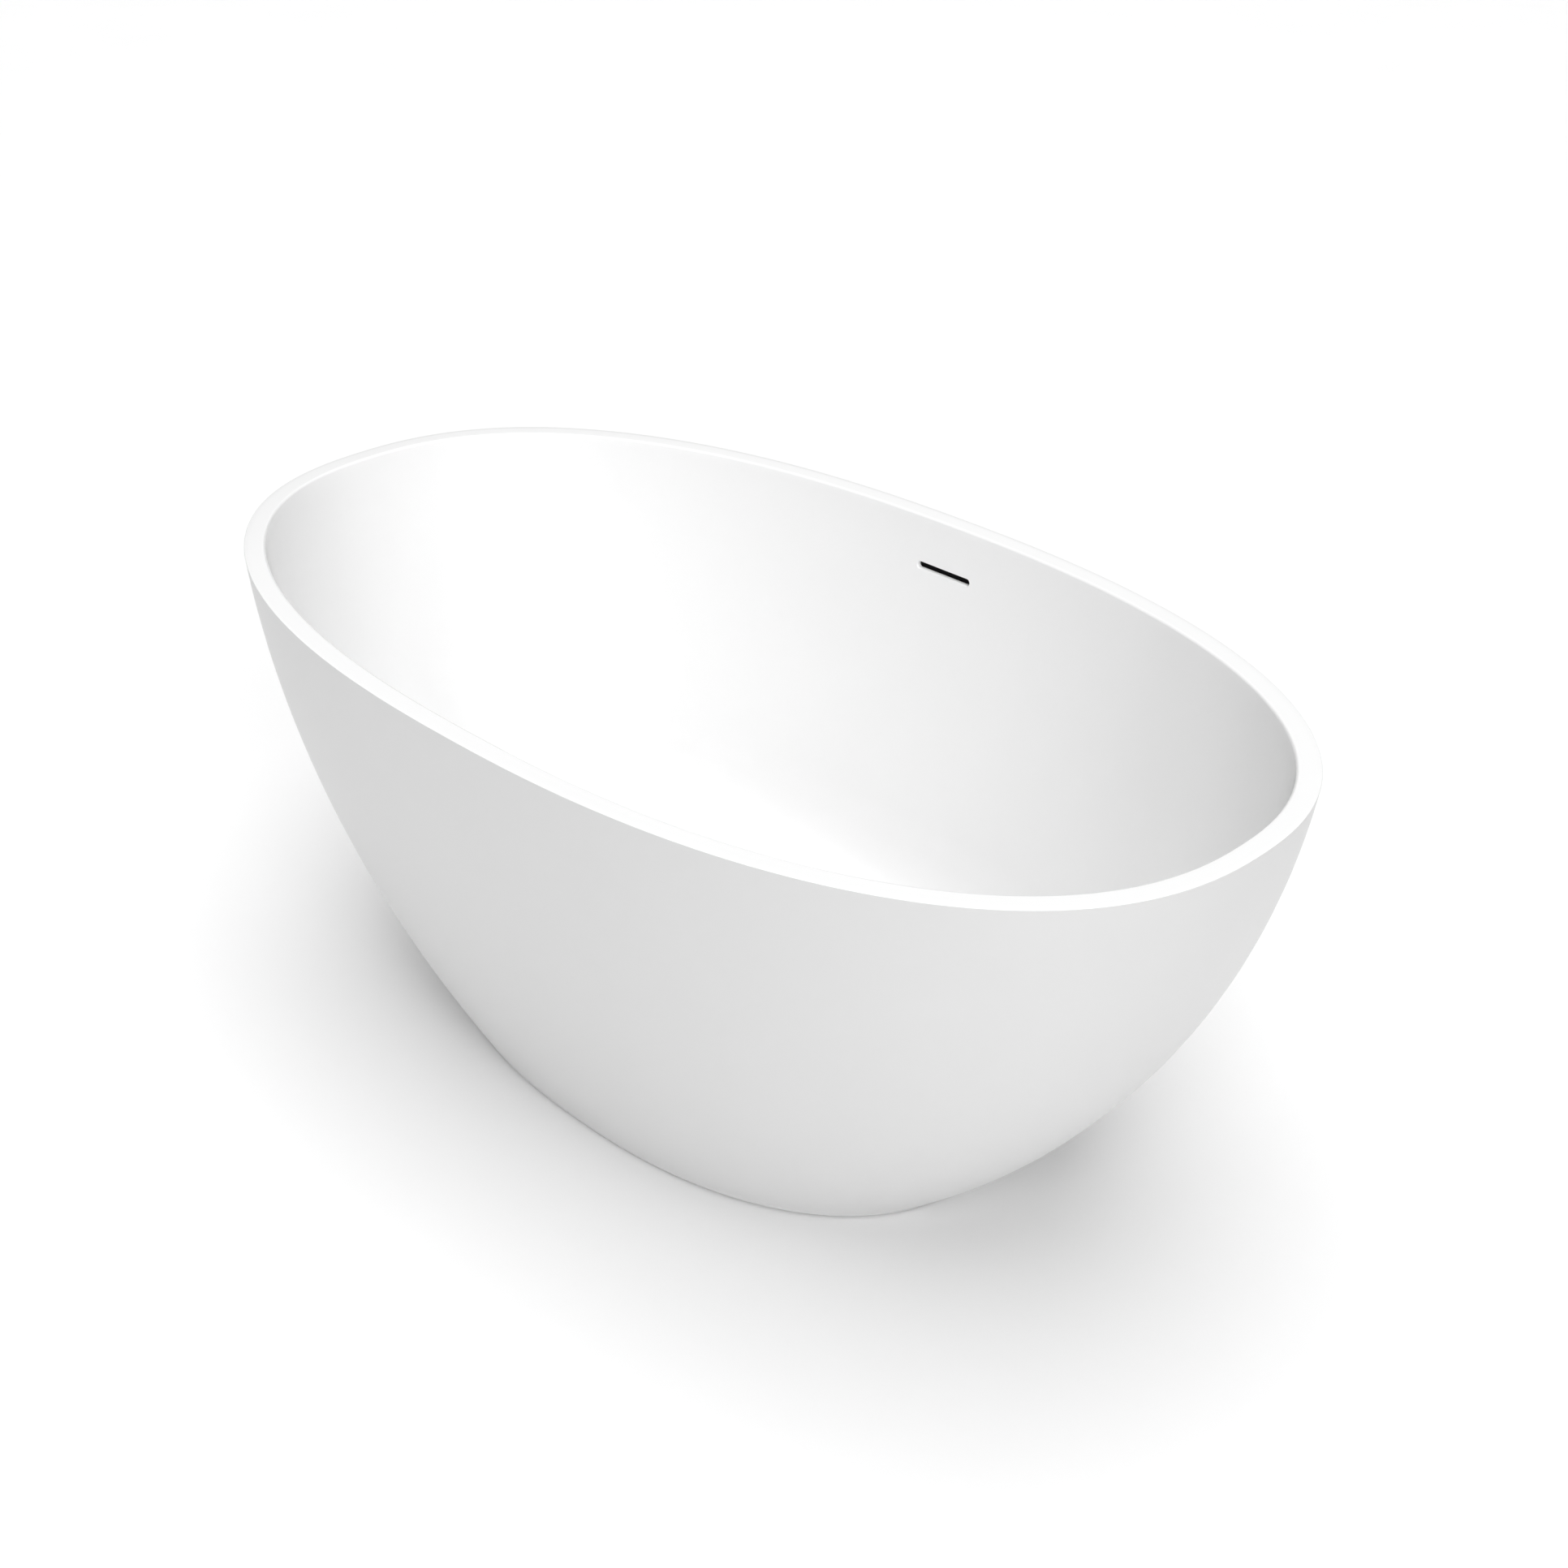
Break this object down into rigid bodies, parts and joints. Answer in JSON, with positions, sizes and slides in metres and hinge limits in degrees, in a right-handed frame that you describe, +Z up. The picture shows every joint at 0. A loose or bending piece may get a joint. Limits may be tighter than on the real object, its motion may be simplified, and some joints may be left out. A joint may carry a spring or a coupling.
{
  "type": "freestanding bathtub",
  "caption": "Freestanding oval double-skin bath with a flat level rim, a slot overflow, a push-to-open waste and a steel cradle on adjustable feet.",
  "frame": {"origin": "on the floor, under the middle of the bath", "axes": "+X along the bath's length, +Y across it towards the wall with the overflow slot, +Z up"},
  "size_m": [1.5, 0.836, 0.602],
  "materials": {
    "basin_acrylic": "high gloss, slightly wavy as cast sheet is",
    "skirt_acrylic": "soft gloss",
    "board": "resin-coated chipboard",
    "steel": "zinc plated",
    "spring_steel": "bright stainless",
    "chrome": "polished",
    "black_plastic": "moulded, satin",
    "white_plastic": "moulded, satin",
    "hose": "flexible, ribbed",
    "rubber": "matt"
  },
  "bodies": {
    "bath": {"basin": "basin_acrylic", "outer_skirt": "skirt_acrylic", "rim_batten": "board", "floor_board": "board", "frame_rail_front": "steel", "frame_rail_back": "steel", "cross_bar_left": "steel", "cross_bar_right": "steel", "rail_cap_front_left": "black_plastic", "rail_cap_front_right": "black_plastic", "rail_cap_back_left": "black_plastic", "rail_cap_back_right": "black_plastic", "waste_flange": "chrome", "waste_flange_seal": "rubber", "waste_body_gasket": "rubber", "waste_body": "black_plastic", "outlet_washer": "rubber", "tail_pipe": "chrome", "coupling_nut": "black_plastic", "plug_cartridge": "white_plastic", "plug_spring": "spring_steel", "overflow_duct": "black_plastic", "overflow_gasket": "rubber", "overflow_hose": "hose", "hose_clip_top": "spring_steel", "hose_clip_bottom": "spring_steel", "foot_weld_nut_left_front": "steel", "foot_lock_nut_left_front": "steel", "skirt_bracket_left_front": "steel", "bracket_screw_left_front": "spring_steel", "foot_weld_nut_left_back": "steel", "foot_lock_nut_left_back": "steel", "skirt_bracket_left_back": "steel", "bracket_screw_left_back": "spring_steel", "foot_weld_nut_right_front": "steel", "foot_lock_nut_right_front": "steel", "skirt_bracket_right_front": "steel", "bracket_screw_right_front": "spring_steel", "foot_weld_nut_right_back": "steel", "foot_lock_nut_right_back": "steel", "skirt_bracket_right_back": "steel", "bracket_screw_right_back": "spring_steel"},
    "plug": {"plug_cap": "chrome", "plug_seal": "rubber", "plug_stem": "chrome"},
    "foot_left_front": {"foot_pad_left_front": "rubber", "foot_stud_left_front": "steel"},
    "foot_left_back": {"foot_pad_left_back": "rubber", "foot_stud_left_back": "steel"},
    "foot_right_front": {"foot_pad_right_front": "rubber", "foot_stud_right_front": "steel"},
    "foot_right_back": {"foot_pad_right_back": "rubber", "foot_stud_right_back": "steel"}
  },
  "joints": [
    {"name": "plug_travel", "type": "slide", "parent": "bath", "child": "plug", "axis": [0, 0, 1], "range_m": [0, 0.008], "deforming": ["plug_spring"]},
    {"name": "foot_height_left_front", "type": "slide", "parent": "bath", "child": "foot_left_front", "axis": [0, 0, 1], "range_m": [-0.012, 0]},
    {"name": "foot_height_left_back", "type": "slide", "parent": "bath", "child": "foot_left_back", "axis": [0, 0, 1], "range_m": [-0.012, 0]},
    {"name": "foot_height_right_front", "type": "slide", "parent": "bath", "child": "foot_right_front", "axis": [0, 0, 1], "range_m": [-0.012, 0]},
    {"name": "foot_height_right_back", "type": "slide", "parent": "bath", "child": "foot_right_back", "axis": [0, 0, 1], "range_m": [-0.012, 0]}
  ]
}
